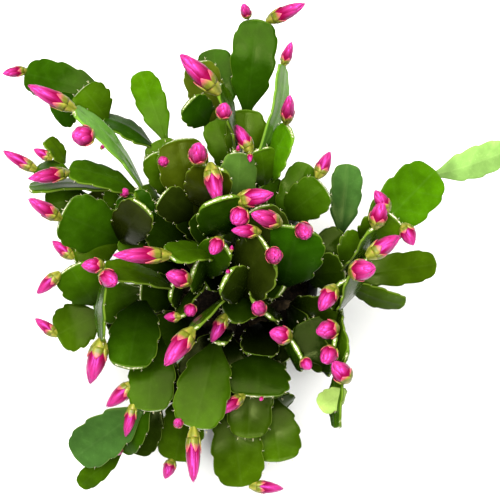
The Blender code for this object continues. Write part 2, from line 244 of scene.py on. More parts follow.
def new_material(name, **sockets):
    """A material and its shader, with the shader's own constant values set."""
    material = bpy.data.materials.new(name)
    material.use_nodes = True
    shader = material.node_tree.nodes["Principled BSDF"]
    for key, value in sockets.items():
        shader.inputs[key.replace("_", " ")].default_value = value
    return material, shader


# %% [markdown]
# ## The skin of a joint
#
# The joints are covered by a waxy cuticle over soft green flesh. It has a satin
# gloss, soft clouds of lighter and darker green some 8 mm across, pale specks of
# half a millimetre, a paler vein along the middle with side veins that run out to
# the notches, and a thin pale margin. Each joint has its own tone, held in a colour
# attribute that also carries painted shade: darker deep in the plant's core, darker
# toward the root in part, and one half lighter than the other. The attribute called
# place says where on the joint a point is: x across it from -1 to 1, and y along it
# from 0 to 1. A painted picture could show all this too, but patterns made by nodes
# need no picture and stay sharp from near.

# %% Waxy cuticle
NOTCHES = (0.365, 0.62, 0.865)
NOTCH_STEP = 0.25
VEIN_RISE = 0.18
MIDRIB_HALF = 0.07
BRANCH_HALF = 0.022
VEIN_SHOWN = 0.2
CLOUD = 8 * MM
SPECK = 0.9 * MM
# The real grain of the skin is finer than this, but it wouldn't show
GRAIN = 0.5 * MM
# Most values of a noise texture lie in this span
NOISE = (0.3, 0.7)


def waxy_cuticle():
    skin, shader = new_material("waxy_cuticle", IOR=1.42, Specular_IOR_Level=0.07,
                                Specular_Tint=tint("#dcf08c"))
    # The tone attribute holds each joint's own green with painted shade multiplied in
    tone = add_node(skin, "Attribute", attribute_name="tone")["Color"]
    place = add_node(skin, "Attribute", attribute_name="place")["Vector"]
    part = add_node(skin, "SeparateXYZ", [place])
    side = add_node(skin, "Math", [part["X"]], operation="ABSOLUTE")[0]
    here = add_node(skin, "TexCoord")["Object"]
    cloud = add_node(skin, "TexNoise", {"Vector": here, "Scale": 1 / CLOUD, "Detail": 2})[0]
    speck = add_node(skin, "TexNoise", {"Vector": here, "Scale": 1 / SPECK, "Detail": 1})[0]
    grain = add_node(skin, "TexNoise", {"Vector": here, "Scale": 1 / GRAIN, "Detail": 2})[0]
    midrib = add_node(skin, "MapRange", [side, 0.0, MIDRIB_HALF, 1.0, 0.0])[0]
    rise = add_node(skin, "Math", [side, -VEIN_RISE, part["Y"]], operation="MULTIPLY_ADD")[0]
    first = NOTCHES[0] - VEIN_RISE
    half = NOTCH_STEP / 2
    lane = add_node(skin, "Math", [rise, first + half, first - half], operation="WRAP")[0]
    off = add_node(skin, "Math", [lane, first], operation="SUBTRACT")[0]
    off = add_node(skin, "Math", [off], operation="ABSOLUTE")[0]
    branch = add_node(skin, "MapRange", [off, 0.0, BRANCH_HALF, 0.45, 0.0])[0]
    vein = add_node(skin, "Math", [midrib, branch], operation="MAXIMUM")[0]
    value = add_node(skin, "MapRange", [cloud, *NOISE, 0.8, 1.17])[0]
    green = add_node(skin, "HueSaturation", {"Value": value, "Color": tone})[0]
    paler = add_node(skin, "HueSaturation", [0.49, 0.92, 1.5, 1.0, green])[0]
    share = add_node(skin, "Math", [vein, VEIN_SHOWN], operation="MULTIPLY")[0]
    veined = add_node(skin, "Mix", {0: share, 6: green, 7: paler}, data_type="RGBA")[2]
    share = add_node(skin, "MapRange", [speck, 0.62, 0.75, 0.0, 0.35])[0]
    specked = add_node(skin, "Mix", {0: share, 6: veined, 7: paler}, data_type="RGBA")[2]
    share = add_node(skin, "MapRange", [side, 0.965, 1.0, 0.0, 0.3])[0]
    edged = add_node(skin, "Mix", {0: share, 6: specked, 7: tint("#7d9632")}, data_type="RGBA")[2]
    share = add_node(skin, "MapRange", [part["Y"], 0.975, 1.0, 0.0, 0.45])[0]
    tipped = add_node(skin, "Mix", {0: share, 6: edged, 7: tint("#587420")}, data_type="RGBA")[2]
    rough = add_node(skin, "MapRange", [cloud, *NOISE, 0.13, 0.3])[0]
    relief = add_node(skin, "Math", [vein, -0.6, grain], operation="MULTIPLY_ADD")[0]
    bump = add_node(skin, "Bump", {"Strength": 0.25, "Distance": 0.15 * MM, "Height": relief})[0]
    feed(skin, shader, {"Base Color": tipped, "Roughness": rough, "Normal": bump})
    return skin


cuticle = waxy_cuticle()
print("made", cuticle.name)

# %% [markdown]
# ## The woolly line on a tip
#
# The blunt tip of a joint is one long areole: a groove filled with short cream wool
# that catches the light as a bright line between two green ridges. The wool is
# matted, so its colour breaks up every millimetre or so, and it is rough. Modelled
# hairs would have more faces than the whole plant, so colour and bumps stand for them.

# %% Areole wool and bristles
WOOL_TUFT = 1.2 * MM


def areole_wool():
    wool, shader = new_material("areole_wool", Roughness=0.55, Sheen_Weight=0.4, IOR=1.5)
    here = add_node(wool, "TexCoord")["Object"]
    tufts = add_node(wool, "TexNoise", {"Vector": here, "Scale": 1 / WOOL_TUFT, "Detail": 3})[0]
    share = add_node(wool, "MapRange", [tufts, 0.46, 0.62, 0.0, 1.0])[0]
    colour = add_node(wool, "Mix", {0: share, 6: tint("#72803c"), 7: tint("#ebe6c6")}, data_type="RGBA")[2]
    bump = add_node(wool, "Bump", {"Strength": 0.7, "Distance": 0.3 * MM, "Height": tufts})[0]
    feed(wool, shader, {"Base Color": colour, "Normal": bump})
    return wool


def straw_bristle():
    """The bristles are dry and horny: straw white, paler to the tip, and a little glossy."""
    straw, shader = new_material("straw_bristle", Roughness=0.4, IOR=1.54)
    place = add_node(straw, "Attribute", attribute_name="place")["Vector"]
    part = add_node(straw, "SeparateXYZ", [place])
    colours = {0: part["Y"], 6: tint("#b9a468"), 7: tint("#f3eed6")}
    colour = add_node(straw, "Mix", colours, data_type="RGBA")[2]
    feed(straw, shader, {"Base Color": colour})
    return straw


wool = areole_wool()
straw = straw_bristle()
print("made", wool.name, "and", straw.name)

# %% [markdown]
# ## Petals and the cup below them
#
# Closed petals are silky, with fine lengthwise veins: crimson where they come out of
# the cup, and a lighter violet pink to the point. This is partly their own colour,
# partly painted shade near the cup and a painted highlight toward the point. The cup
# and its scales are fleshy, olive yellow, with paler ribs, and the tips of the scales
# are flushed with pink. Some light gets in under the surface of both. A little
# subsurface scattering gives them that soft look, which a plain colour can't.

# %% Silky petals and fleshy cup
PETAL_VEINS = 9


def silky_petal():
    silk, shader = new_material("silky_petal", Roughness=0.36, IOR=1.5, Specular_IOR_Level=0.75,
                                Subsurface_Weight=0.12, Subsurface_Scale=1.2 * MM,
                                Subsurface_Radius=(1.0, 0.2, 0.5), Specular_Tint=tint("#e070ff"))
    place = add_node(silk, "Attribute", attribute_name="place")["Vector"]
    part = add_node(silk, "SeparateXYZ", [place])
    lines = add_node(silk, "Mapping", {"Vector": place, "Scale": (PETAL_VEINS, 1.5, 1)})[0]
    vein = add_node(silk, "TexNoise", {"Vector": lines, "Scale": 1.0, "Detail": 2})[0]
    # Partly painted shade and highlight: crimson at the cup, lighter violet pink at the point
    share = add_node(silk, "MapRange", [part["Y"], 0.45, 1.0, 0.0, 1.0])[0]
    colour = add_node(silk, "Mix", {0: share, 6: tint("#74022d"), 7: tint("#b03078")}, data_type="RGBA")[2]
    value = add_node(silk, "MapRange", [vein, *NOISE, 0.9, 1.08])[0]
    streaked = add_node(silk, "HueSaturation", {"Value": value, "Color": colour})[0]
    bump = add_node(silk, "Bump", {"Strength": 0.15, "Distance": 0.2 * MM, "Height": vein})[0]
    feed(silk, shader, {"Base Color": streaked, "Normal": bump})
    return silk


def fleshy_cup():
    flesh, shader = new_material("fleshy_cup", Roughness=0.4, IOR=1.42, Subsurface_Weight=0.1,
                                 Subsurface_Scale=1.5 * MM, Subsurface_Radius=(0.9, 1.0, 0.2))
    place = add_node(flesh, "Attribute", attribute_name="place")["Vector"]
    part = add_node(flesh, "SeparateXYZ", [place])
    here = add_node(flesh, "TexCoord")["Object"]
    cloud = add_node(flesh, "TexNoise", {"Vector": here, "Scale": 0.5 / GRAIN, "Detail": 2})[0]
    colours = {0: part["X"], 6: tint("#59600f"), 7: tint("#86852e")}
    colour = add_node(flesh, "Mix", colours, data_type="RGBA")[2]
    flush = add_node(flesh, "MapRange", [part["Y"], 0.4, 0.85, 0.0, 0.9])[0]
    flushed = add_node(flesh, "Mix", {0: flush, 6: colour, 7: tint("#b8385c")}, data_type="RGBA")[2]
    value = add_node(flesh, "MapRange", [cloud, *NOISE, 0.85, 1.12])[0]
    mottled = add_node(flesh, "HueSaturation", {"Value": value, "Color": flushed})[0]
    bump = add_node(flesh, "Bump", {"Strength": 0.2, "Distance": 0.2 * MM, "Height": cloud})[0]
    feed(flesh, shader, {"Base Color": mottled, "Normal": bump})
    return flesh


silk = silky_petal()
flesh = fleshy_cup()
print("made", silk.name, "and", flesh.name)

# %% [markdown]
# ## Foot, soil and pot
#
# The oldest joint of a stem turns to brown corky wood. Potting soil is dark, damp and
# crumbly, with paler bark fibres. Both are coloured darker still, nearly black, as
# painted shade for the core of the plant. The pot is moulded polypropylene, dark grey
# with a fine matt grain, and soil dust dulls it in patches. Cracks, fine crumbs and
# grain are too small to model, so bumps in the shader stand for them.

# %% Corky wood, potting soil and moulded polypropylene
BARK_CRACK = 2.5 * MM
CRUMB = 2.2 * MM
# The real grain of a mould is finer than this, but it wouldn't show
MOULD_GRAIN = 0.8 * MM
DUST = 25 * MM


def corky_wood():
    cork, shader = new_material("corky_wood", Roughness=0.85, IOR=1.5, Specular_IOR_Level=0.1)
    here = add_node(cork, "TexCoord")["Object"]
    long = add_node(cork, "Mapping", {"Vector": here, "Scale": (1, 1, 0.3)})[0]
    crack = add_node(cork, "TexNoise", {"Vector": long, "Scale": 1 / BARK_CRACK, "Detail": 4})[0]
    share = add_node(cork, "MapRange", [crack, 0.35, 0.62, 0.0, 1.0])[0]
    # Painted shade: the bark is coloured darker than it is, nearly black, for the plant's core
    colour = add_node(cork, "Mix", {0: share, 6: tint("#120d05"), 7: tint("#33291a")}, data_type="RGBA")[2]
    bump = add_node(cork, "Bump", {"Strength": 0.8, "Distance": 0.6 * MM, "Height": crack})[0]
    feed(cork, shader, {"Base Color": colour, "Normal": bump})
    return cork


def potting_soil():
    soil, shader = new_material("potting_soil_with_painted_shade", Roughness=0.92, IOR=1.4, Specular_IOR_Level=0.1)
    here = add_node(soil, "TexCoord")["Object"]
    crumb = add_node(soil, "TexVoronoi", {"Vector": here, "Scale": 1 / CRUMB})
    fibre = add_node(soil, "TexNoise", {"Vector": here, "Scale": 1 / CRUMB, "Detail": 5})[0]
    share = add_node(soil, "MapRange", [fibre, 0.5, 0.75, 0.0, 1.0])[0]
    # Painted shade: the soil is coloured nearly black, darker than damp soil, for the plant's core
    colour = add_node(soil, "Mix", {0: share, 6: tint("#070402"), 7: tint("#1a1209")}, data_type="RGBA")[2]
    bump = add_node(soil, "Bump", {"Strength": 0.9, "Distance": 1.0 * MM, "Height": crumb["Distance"]})[0]
    feed(soil, shader, {"Base Color": colour, "Normal": bump})
    return soil


def moulded_polypropylene():
    plastic, shader = new_material("moulded_polypropylene", IOR=1.49)
    here = add_node(plastic, "TexCoord")["Object"]
    dust = add_node(plastic, "TexNoise", {"Vector": here, "Scale": 1 / DUST, "Detail": 5})[0]
    grain = add_node(plastic, "TexNoise", {"Vector": here, "Scale": 1 / MOULD_GRAIN, "Detail": 2})[0]
    share = add_node(plastic, "MapRange", [dust, 0.45, 0.72, 0.0, 0.5])[0]
    colours = {0: share, 6: tint("#26282a"), 7: tint("#4b463e")}
    colour = add_node(plastic, "Mix", colours, data_type="RGBA")[2]
    rough = add_node(plastic, "MapRange", [dust, 0.4, 0.7, 0.38, 0.7])[0]
    bump = add_node(plastic, "Bump", {"Strength": 0.35, "Distance": 0.1 * MM, "Height": grain})[0]
    feed(plastic, shader, {"Base Color": colour, "Roughness": rough, "Normal": bump})
    return plastic


cork = corky_wood()
earth = potting_soil()
plastic = moulded_polypropylene()
print("made", cork.name, earth.name, "and", plastic.name)

# %% [markdown]
# ## One joint, modelled once
#
# A joint is flat and about 24 by 45 mm. It starts as a grid. Each row of the grid is
# scaled to the outline, which has three shallow scallops with a notch between them
# and a broad, softly rounded tip. Solidify gives it thickness, the midrib is raised,
# the margin is thinned, and the end face is inset and pushed in for the wool. One
# subdivision rounds it all. A filled curve would give the outline too, but it has no
# rows and columns, which the bending and the veins need.

# %% Joint master
JOINT_LENGTH = 45 * MM
JOINT_HALF = 12 * MM
JOINT_THICKNESS = 2 * MM
COLUMNS = (-1.0, -0.88, -0.55, -0.15, 0.0, 0.15, 0.55, 0.88, 1.0)
ROWS = (
    (0.00, 0.20), (0.05, 0.25), (0.12, 0.41), (0.20, 0.62), (0.28, 0.82), (0.340, 0.90),
    (0.365, 0.79), (0.40, 0.84), (0.47, 0.95), (0.54, 1.01), (0.595, 1.03), (0.62, 0.91),
    (0.66, 0.95), (0.73, 0.985), (0.80, 0.98), (0.845, 0.95), (0.865, 0.83), (0.92, 0.83),
    (0.965, 0.74), (1.00, 0.60),
)
TIP_DROP = 1.6 * MM
DROP_START = 0.70
MIDRIB_SHARE = 1.35
MARGIN_SHARE = 0.72
TIP_RIDGE_SHARE = 1.7
WOOL_INSET = 1.15 * MM
WOOL_DEPTH = 0.35 * MM
NEAR = 0.01
MARGIN_FROM = 0.95
TIP_FROM = 0.99


def tip_weight(along):
    return max(0.0, (along - DROP_START) / (1 - DROP_START)) ** 1.5


def model_joint():
    joint = add_primitive("joint_master", bpy.ops.mesh.primitive_grid_add,
                          x_subdivisions=len(COLUMNS) - 1, y_subdivisions=len(ROWS) - 1, size=2)
    mark_place(joint, [(across, along, 0) for along, _ in ROWS for across in COLUMNS])
    wide = len(COLUMNS)
    start_edit(joint)
    for column, across in enumerate(COLUMNS):
        choose(joint, lambda point: point.index % wide == column)
        move(across - (2 * column / (wide - 1) - 1), 0, 0)
    for row, (along, share) in enumerate(ROWS):
        choose(joint, lambda point: point.index // wide == row)
        resize(share * JOINT_HALF, 1, 1)
        move(0, along * JOINT_LENGTH - (2 * row / (len(ROWS) - 1) - 1), 0)
    for row, (along, share) in enumerate(ROWS):
        for across in COLUMNS[:len(COLUMNS) // 2]:
            choose(joint, lambda point: point.index // wide == row
                   and abs(abs(COLUMNS[point.index % wide]) + across) < NEAR)
            move(0, -TIP_DROP * tip_weight(along) * across ** 2, 0)
    end_edit()
    joint.data.materials.append(cuticle)
    joint.data.materials.append(wool)
    finish_with(joint, "SOLIDIFY", thickness=JOINT_THICKNESS, offset=0)
    start_edit(joint)
    layer = bmesh.from_edit_mesh(joint.data).verts.layers.float_vector["place"]
    choose(joint, lambda point: abs(point[layer].x) < NEAR)
    resize(1, 1, MIDRIB_SHARE)
    choose(joint, lambda point: abs(point[layer].x) > MARGIN_FROM)
    resize(1, 1, MARGIN_SHARE)
    choose(joint, lambda point: point[layer].y > TIP_FROM)
    resize(1, 1, TIP_RIDGE_SHARE)
    bpy.ops.mesh.select_mode(type="FACE")
    choose_faces(joint, lambda face: all(point[layer].y > TIP_FROM for point in face.verts))
    bpy.ops.mesh.inset(thickness=WOOL_INSET, depth=-WOOL_DEPTH)
    joint.active_material_index = 1
    bpy.ops.object.material_slot_assign()
    end_edit()
    finish_with(joint, "SUBSURF", levels=1, render_levels=1)
    return joint


joint_master = model_joint()
tell("joint", joint_master)

# %% [markdown]
# ## One bud, modelled once
#
# A bud is 20 mm long. Its petals stand in three whorls round a closed core, each whorl
# longer than the one outside it. A petal is modelled flat, as a grid scaled row by row,
# and is then wrapped round the bud and thickened: across the petal becomes a turn round
# the axis, and each petal leans over its neighbour, as petals do in a closed bud. Five
# pointed scales are wrapped round the rim of the cup in the same way, and their tips
# flare outward. One closed form would be simpler, but it has no edges to catch light.

# %% Petals
BUD_LENGTH = 20 * MM
BUD_RADIUS = 4.8 * MM
BUD_SHAPE = ((0.0, 0.5), (0.15, 0.76), (0.3, 0.84), (0.42, 0.84), (0.56, 0.79), (0.7, 0.68),
             (0.84, 0.50), (0.94, 0.29), (1.0, 0.08))
PETAL_ROWS = (0.9, 1.0, 1.0, 0.96, 0.78, 0.1)
SCALE_ROWS = (1.0, 1.0, 0.9, 0.68, 0.38, 0.06)
PETAL_COLUMNS = 4
PETAL_THICKNESS = 0.3 * MM
PETAL_LEAN = 0.16 * MM
PETAL_KEEL = 0.7 * MM
# Petals in the whorl, where they start and end along the bud, how far to each side they
# reach round it in degrees, how far out they lie and how far out their tips flare. The
# scales on the rim of the cup come first.
WHORLS = ((5, 0.18, 0.46, 36, 0.75 * MM, 1.0 * MM), (5, 0.18, 0.80, 42, 0.1 * MM, 0),
          (5, 0.22, 0.93, 44, -0.15 * MM, 0), (3, 0.30, 1.0, 66, -0.4 * MM, 0))


def bud_radius_at(share):
    places, radii = zip(*BUD_SHAPE)
    return BUD_RADIUS * float(np.interp(share, places, radii))


def model_petal(shares, skin):
    rows = len(shares)
    petal = add_primitive("petal_master", bpy.ops.mesh.primitive_grid_add,
                          x_subdivisions=PETAL_COLUMNS, y_subdivisions=rows - 1, size=2)
    wide = PETAL_COLUMNS + 1
    mark_place(petal, [(point.co.x, (point.co.y + 1) / 2, 0) for point in petal.data.vertices])
    start_edit(petal)
    for row, share in enumerate(shares):
        choose(petal, lambda point: point.index // wide == row)
        resize(share, 1, 1)
    end_edit()
    petal.data.materials.append(skin)
    return petal


def wrap_petal(flat, turn, start, end, reach, out, flare):
    """A copy of the flat petal, wrapped round the bud and thickened."""
    petal = copy_of(flat)
    for point in petal.data.vertices:
        across, along = point.co.x, (point.co.y + 1) / 2
        share = start + (end - start) * along
        keel = 0 if flare else PETAL_KEEL * (1 - abs(across)) * 4 * along * (1 - along)
        radius = bud_radius_at(share) + keel + flare * along ** 2
        radius += (out + PETAL_LEAN * across) * (1 - along ** 3)
        angle = turn + across * reach
        point.co = (radius * math.cos(angle), radius * math.sin(angle), share * BUD_LENGTH)
    finish_with(petal, "SOLIDIFY", thickness=PETAL_THICKNESS, offset=0)
    return petal


# %% [markdown]
# The cup is a bell with five ribs, drawn up from a circle, and its last ring folds
# inward. The core is drawn up in the same way and is hidden by the petals, so it is
# plain. It keeps anyone from seeing through the gaps between them.

# %% Cup, core and bud
CUP_SIDES = 20
CUP_RIBS = 5
CUP_RINGS = ((-0.07, 0.40), (0.0, 0.48), (0.05, 0.68), (0.13, 0.88), (0.22, 0.97), (0.31, 1.0), (0.21, 0.72))
RIB = 1.06
CORE_SIDES = 10
CORE_RINGS = (0.2, 0.4, 0.6, 0.8, 0.96)
CORE_SHARE = 0.75


def model_cup():
    cup = draw_up("cup", CUP_SIDES, [(share * BUD_RADIUS, (0, 0, height * BUD_LENGTH))
                                     for height, share in CUP_RINGS])
    end_edit()

    def ribbed(point):
        """1 on a rib and -1 between two ribs."""
        return math.cos(CUP_RIBS * math.atan2(point.co.y, point.co.x))

    top = max(CUP_RINGS)[0] * BUD_LENGTH
    mark_place(cup, [(0.5 + 0.5 * ribbed(point), max(0, point.co.z / top) * (0.7 + 0.3 * ribbed(point)), 0)
                     for point in cup.data.vertices])
    start_edit(cup)
    choose(cup, lambda point: ribbed(point) > 0.95 and point.co.xy.length > 0.3 * BUD_RADIUS)
    resize(RIB, RIB, 1)
    end_edit_outward()
    cup.data.materials.append(flesh)
    finish_with(cup, "SUBSURF", levels=1, render_levels=1)
    return cup


def model_core():
    core = draw_up("core", CORE_SIDES, [(CORE_SHARE * bud_radius_at(share), (0, 0, share * BUD_LENGTH))
                                        for share in CORE_RINGS])
    end_edit_outward()
    mark_place(core, [(0, point.co.z / BUD_LENGTH, 0) for point in core.data.vertices])
    core.data.materials.append(silk)
    return core


def model_bud():
    parts = [model_cup(), model_core()]
    petal, scale = model_petal(PETAL_ROWS, silk), model_petal(SCALE_ROWS, flesh)
    for ring, (count, start, end, reach, *out) in enumerate(WHORLS):
        for i in range(count):
            turn = 2 * math.pi * (i + 0.5 * (ring % 2)) / count
            parts.append(wrap_petal(petal if ring else scale, turn, start, end, math.radians(reach), *out))
    remove(petal, scale)
    return join("bud_master", parts)


bud_master = model_bud()
tell("bud", bud_master)

# %% [markdown]
# ## One bristle, modelled once
#
# Each notch in the margin carries a tuft of fine straw bristles, 1 to 2 mm long, and
# the woolly line on the tip has four. A bristle is a three sided cone, drawn out in
# three stretches that lean a little, so that it curves. Real ones are a tenth of a
# millimetre thick at their foot. These are twice as thick, so that they show. They are
# meshes because the export takes no hair.

# %% Bristle master
BRISTLE_LENGTH = 1.6 * MM
BRISTLE_RADIUS = 0.11 * MM
BRISTLE_STRETCHES = 3
BRISTLE_LEAN = 0.12
BRISTLE_TAPER = 0.66


def model_bristle():
    bristle = add_primitive("bristle_master", bpy.ops.mesh.primitive_circle_add, vertices=3,
                            radius=BRISTLE_RADIUS, fill_type="NGON")
    step = BRISTLE_LENGTH / BRISTLE_STRETCHES
    start_edit(bristle)
    bpy.ops.mesh.select_all(action="SELECT")
    for i in range(BRISTLE_STRETCHES):
        lean = BRISTLE_LEAN * step * i
        bpy.ops.mesh.extrude_region_move(TRANSFORM_OT_translate={"value": (lean, 0, step)})
        resize(BRISTLE_TAPER, BRISTLE_TAPER, 1, (lean, 0, 0))
    end_edit_outward()
    mark_place(bristle, [(0, point.co.z / BRISTLE_LENGTH, 0) for point in bristle.data.vertices])
    bristle.data.materials.append(straw)
    return bristle


bristle_master = model_bristle()
tell("bristle", bristle_master)

# %% [markdown]
# ## Where everything lies
#
# The CAD model places each joint along a line of sight of a viewer who looks down on
# the plant, and the finer pieces lie on the same places. Places in plain x, y and z
# would do too, but only where a joint is seen can be read off the photograph. Heights
# are chosen so that each joint hangs from one that could carry it. A foot is where it
# leaves the soil and where its woody part ends. A joint is (parent, at, place of its
# tip, width, turn): parent 0 is the foot, else the joint that it grows from, at is
# where on the parent's tip, from -1 left to 1 right and beyond that down its margin,
# and turn is how far its face is turned from the viewer. A bud is (joint, at, where
# its point is seen, length, thickness). Sizes are in millimetres and turns in degrees.
# The stems on the left come first. They reach out over the rim of the pot, and their
# joints with turns of 50 degrees and more are seen from the side, as narrow bands.

# %% Stems on the left
STEMS = {
    "back_left": {
        "foot": (-14, 15, -19, 21),
        "joints": [
            (0, 0, (-33, 32, 132), 26, 20),
            (1, 0, (-47, 64, 146), 25, 10),
            (2, -0.6, (-79, 77, 158), 24, 60),
            (3, 0, (-92, 95, 172), 26, 20),
            (4, 1.4, (-126, 104, 160), 25, 0),
            (4, -0.6, (-107, 77, 158), 22, 10),
            (2, 0.7, (-57, 105, 150), 20, 5),
            (1, -0.5, (-50, 56, 156), 20, 0),
        ],
        "buds": [(5, 0.3, (-140, 104), 18, 7), (5, 1.2, (-118, 115), 4, 2.6)],
    },
    "left_high": {
        "foot": (-24, 8, -32, 11),
        "joints": [
            (0, 0, (-52, 14, 130), 26, 30),
            (1, 0, (-56, 37, 144), 24, 55),
            (2, 0, (-97, 83, 190), 24, 72),
            (2, -1, (-100, 47, 160), 24, 50),
            (4, -0.5, (-119, 46, 145), 14, 30),
            (5, 1.6, (-113, 65, 165), 14, 50),
            (1, -0.6, (-64, 33, 148), 24, 0),
        ],
        "buds": [
            (3, 0, (-124, 97), 30, 10), (3, -1.25, (-97, 67), 16, 13), (3, -1.4, (-78, 62), 5, 2.6),
            (4, -0.6, (-124, 41), 30, 9.5), (6, -1.6, (-125, 61), 12, 6.5),
            (5, 0, (-140, 58), 24, 8), (7, -0.4, (-66, 34), 8, 6),
        ],
    },
    "left": {
        "foot": (-32, -2, -40, 1),
        "joints": [
            (0, 0, (-68, 8, 122), 26, 20),
            (1, 0.6, (-72, 36, 126), 22, 30),
            (2, 0, (-124, 35, 140), 22, 66),
            (1, 0.2, (-88, 31, 114), 24, 10),
            (1, -0.4, (-104, 20, 148), 36, 0),
            (4, 0, (-114, 26, 122), 20, 10),
            (1, -1, (-98, -4, 132), 22, 10),
            (1, -0.6, (-55, 25, 165), 26, 0),
        ],
        "buds": [(5, -0.3, (-124, 29), 24, 9.5), (7, -0.4, (-110, 4), 16, 8)],
    },
    "left_low": {
        "foot": (-28, -14, -37, -15),
        "joints": [
            (0, 0, (-57, -26, 124), 25, 10),
            (1, 0, (-84, -38, 110), 24, 0),
            (2, 0.5, (-99, -12, 138), 27, 0),
            (2, -0.5, (-107, -53, 104), 30, 10),
            (0, 0.5, (-38, -24, 150), 22, 60),
            (5, 0, (-79, -13, 166), 22, 60),
            (6, -1, (-80, -56, 146), 22, 70),
            (1, -0.8, (-64, -73, 140), 31, 0),
            (0, 0.3, (-78, -46, 100), 36, 0),
        ],
        "buds": [
            (3, -1, (-120, -29), 18, 8.5), (4, 0, (-121, -42), 17, 7.5),
            (6, 0.5, (-92, -11), 14, 9.5), (6, -0.9, (-72, -22), 15, 11), (7, 0, (-87, -82), 26, 12),
        ],
    },
}
print(len(STEMS), "stems on the left")

# %% [markdown]
# The stems in front hang lowest, out past the rim of the pot. Nearly all their joints
# show their whole faces to the viewer, so their turns are small.

# %% Stems in front
STEMS |= {
    "front_left": {
        "foot": (-18, -26, -25, -32),
        "joints": [
            (0, 0, (-48, -54, 122), 25, 10),
            (1, 0, (-52, -99, 124), 29, 5),
            (2, 0.5, (-96, -126, 100), 28, 0),
            (2, 0, (-68, -122, 98), 18, 10),
            (4, 0, (-93, -143, 78), 14, 0),
            (1, -0.8, (-46, -94, 98), 26, 0),
            (6, 0, (-60, -124, 82), 22, 0),
        ],
        "buds": [
            (2, 1.35, (-81, -99), 21, 10), (2, 1.1, (-66, -115), 20, 7.5),
            (4, 0.4, (-71, -124), 8, 6),
        ],
    },
    "front": {
        "foot": (-4, -30, -6, -38),
        "joints": [
            (0, 0, (-10, -58, 136), 14, 30),
            (1, 0.4, (-25, -109, 134), 32, 0),
            (0, 0.5, (-28, -88, 100), 32, 0),
            (3, 0, (-36, -128, 72), 29, 0),
            (0, -0.5, (-2, -92, 104), 26, 0),
            (5, 0, (4, -144, 84), 32, 0),
        ],
        "buds": [
            (2, 0.9, (-35, -104), 8, 6), (2, 0, (-25, -142), 32, 9), (4, 0.2, (-42, -139), 13, 8.5),
            (6, -0.6, (29, -145), 20, 8),
        ],
    },
    "front_right": {
        "foot": (12, -26, 17, -33),
        "joints": [
            (0, 0, (14, -66, 116), 25, 0),
            (1, 0, (13, -90, 122), 40, 0),
            (1, 0.5, (8, -115, 104), 28, 0),
            (0, -0.5, (22, -92, 96), 25, 0),
            (4, 0, (27, -129, 86), 30, 0),
            (4, -0.5, (31, -95, 80), 16, 0),
            (0, -0.8, (35, -65, 112), 20, 10),
            (7, 0, (37, -61, 153), 26, -44),
        ],
        "buds": [
            (2, 0.7, (-10, -100), 22, 8), (2, -0.3, (15, -92), 4, 2.6), (8, -1, (21, -51), 14, 11),
            (8, 1, (45, -73), 9, 7.5),
        ],
    },
}
print(len(STEMS), "stems with those in front")

# %% [markdown]
# The stems on the right reach farthest from the pot, and those behind stand highest.

# %% Stems on the right and behind
STEMS |= {
    "right_low": {
        "foot": (24, -16, 33, -21),
        "joints": [
            (0, 0, (56, -73, 114), 22, 30),
            (1, 0, (45, -43, 121), 30, 0),
            (0, 0.5, (64, -38, 136), 22, 30),
            (3, 0, (75, -10, 168), 34, 68),
            (3, 0.3, (66, -68, 148), 22, 74),
            (5, 0, (61, -109, 136), 24, 78),
            (6, -1.5, (51, -96, 140), 14, 10),
            (1, 0.5, (60, -55, 150), 26, 90),
            (3, 0, (64, -21, 158), 20, 40),
        ],
        "buds": [
            (9, -1, (51, -38), 18, 11), (4, -1, (84, -13), 18, 13), (4, 1, (101, 8), 22, 11),
            (8, 1, (49, -51), 15, 12), (8, -1, (53, -69), 14, 11), (6, -1.68, (59, -69), 15, 12),
        ],
    },
    "right": {
        "foot": (32, 0, 41, 2),
        "joints": [
            (0, 0, (66, -14, 128), 26, 20),
            (1, 0, (84, 12, 156), 24, 72),
            (1, -0.4, (78, 6, 134), 26, 20),
            (3, 0.2, (120, 46, 138), 34, 0),
            (4, 0.2, (163, 58, 136), 21, 15),
            (1, 0.5, (77, 4, 132), 22, 0),
            (6, 0, (96, 18, 160), 25, 10),
            (1, 0.4, (121, -10, 122), 21, 5),
            (1, 1, (102, -34, 112), 17, 45),
            (0, -0.8, (65, 9, 118), 19, 0),
            (10, 0, (68, 50, 132), 21, 5),
        ],
        "buds": [(2, 0, (89, 28), 18, 11), (7, -0.8, (84, 34), 15, 9), (7, 1, (107, 1), 14, 10)],
    },
    "back_right": {
        "foot": (24, 14, 31, 19),
        "joints": [
            (0, 0, (26, 17, 138), 24, 20),
            (1, 0, (44, 50, 150), 20, 0),
            (1, 0.6, (54, 36, 156), 26, 0),
            (0, -0.6, (19, 40, 146), 24, 30),
            (4, 0.5, (33, 71, 182), 24, -55),
            (4, -0.5, (15, 59, 170), 22, 20),
            (6, 0, (29, 109, 176), 22, 66),
        ],
        "buds": [
            (3, -1, (58, 59), 17, 9), (5, -0.8, (33, 91), 24, 8.5), (7, 0, (34, 123), 17, 7),
            (6, -1, (-1, 77), 18, 9),
        ],
    },
    "back": {
        "foot": (6, 24, 6, 31),
        "joints": [
            (0, 0, (4, 44, 134), 25, 0),
            (1, 0.2, (7, 83, 160), 26, 0),
            (2, 0, (14, 137, 195), 28, 0),
            (1, -0.6, (-12, 78, 150), 22, 0),
            (4, -0.8, (-28, 87, 170), 22, 0),
            (4, -0.2, (-23, 111, 182), 24, 10),
            (4, 0.6, (-13, 119, 170), 25, 0),
            (1, -0.2, (0, 60, 168), 20, 66),
            (8, 0, (-10, 96, 202), 24, 76),
        ],
        "buds": [
            (3, -0.8, (5, 146), 13, 7), (3, 0.8, (42, 146), 27, 9.5), (9, -0.8, (-33, 116), 32, 12),
            (9, -1.35, (-6, 86), 12, 9.5),
        ],
    },
}
print(len(STEMS), "stems with those on the right and behind")

# %% [markdown]
# The stem in the middle is the fullest one. It fills the core of the plant, where the
# photograph is so dark that many joints can't be told apart.

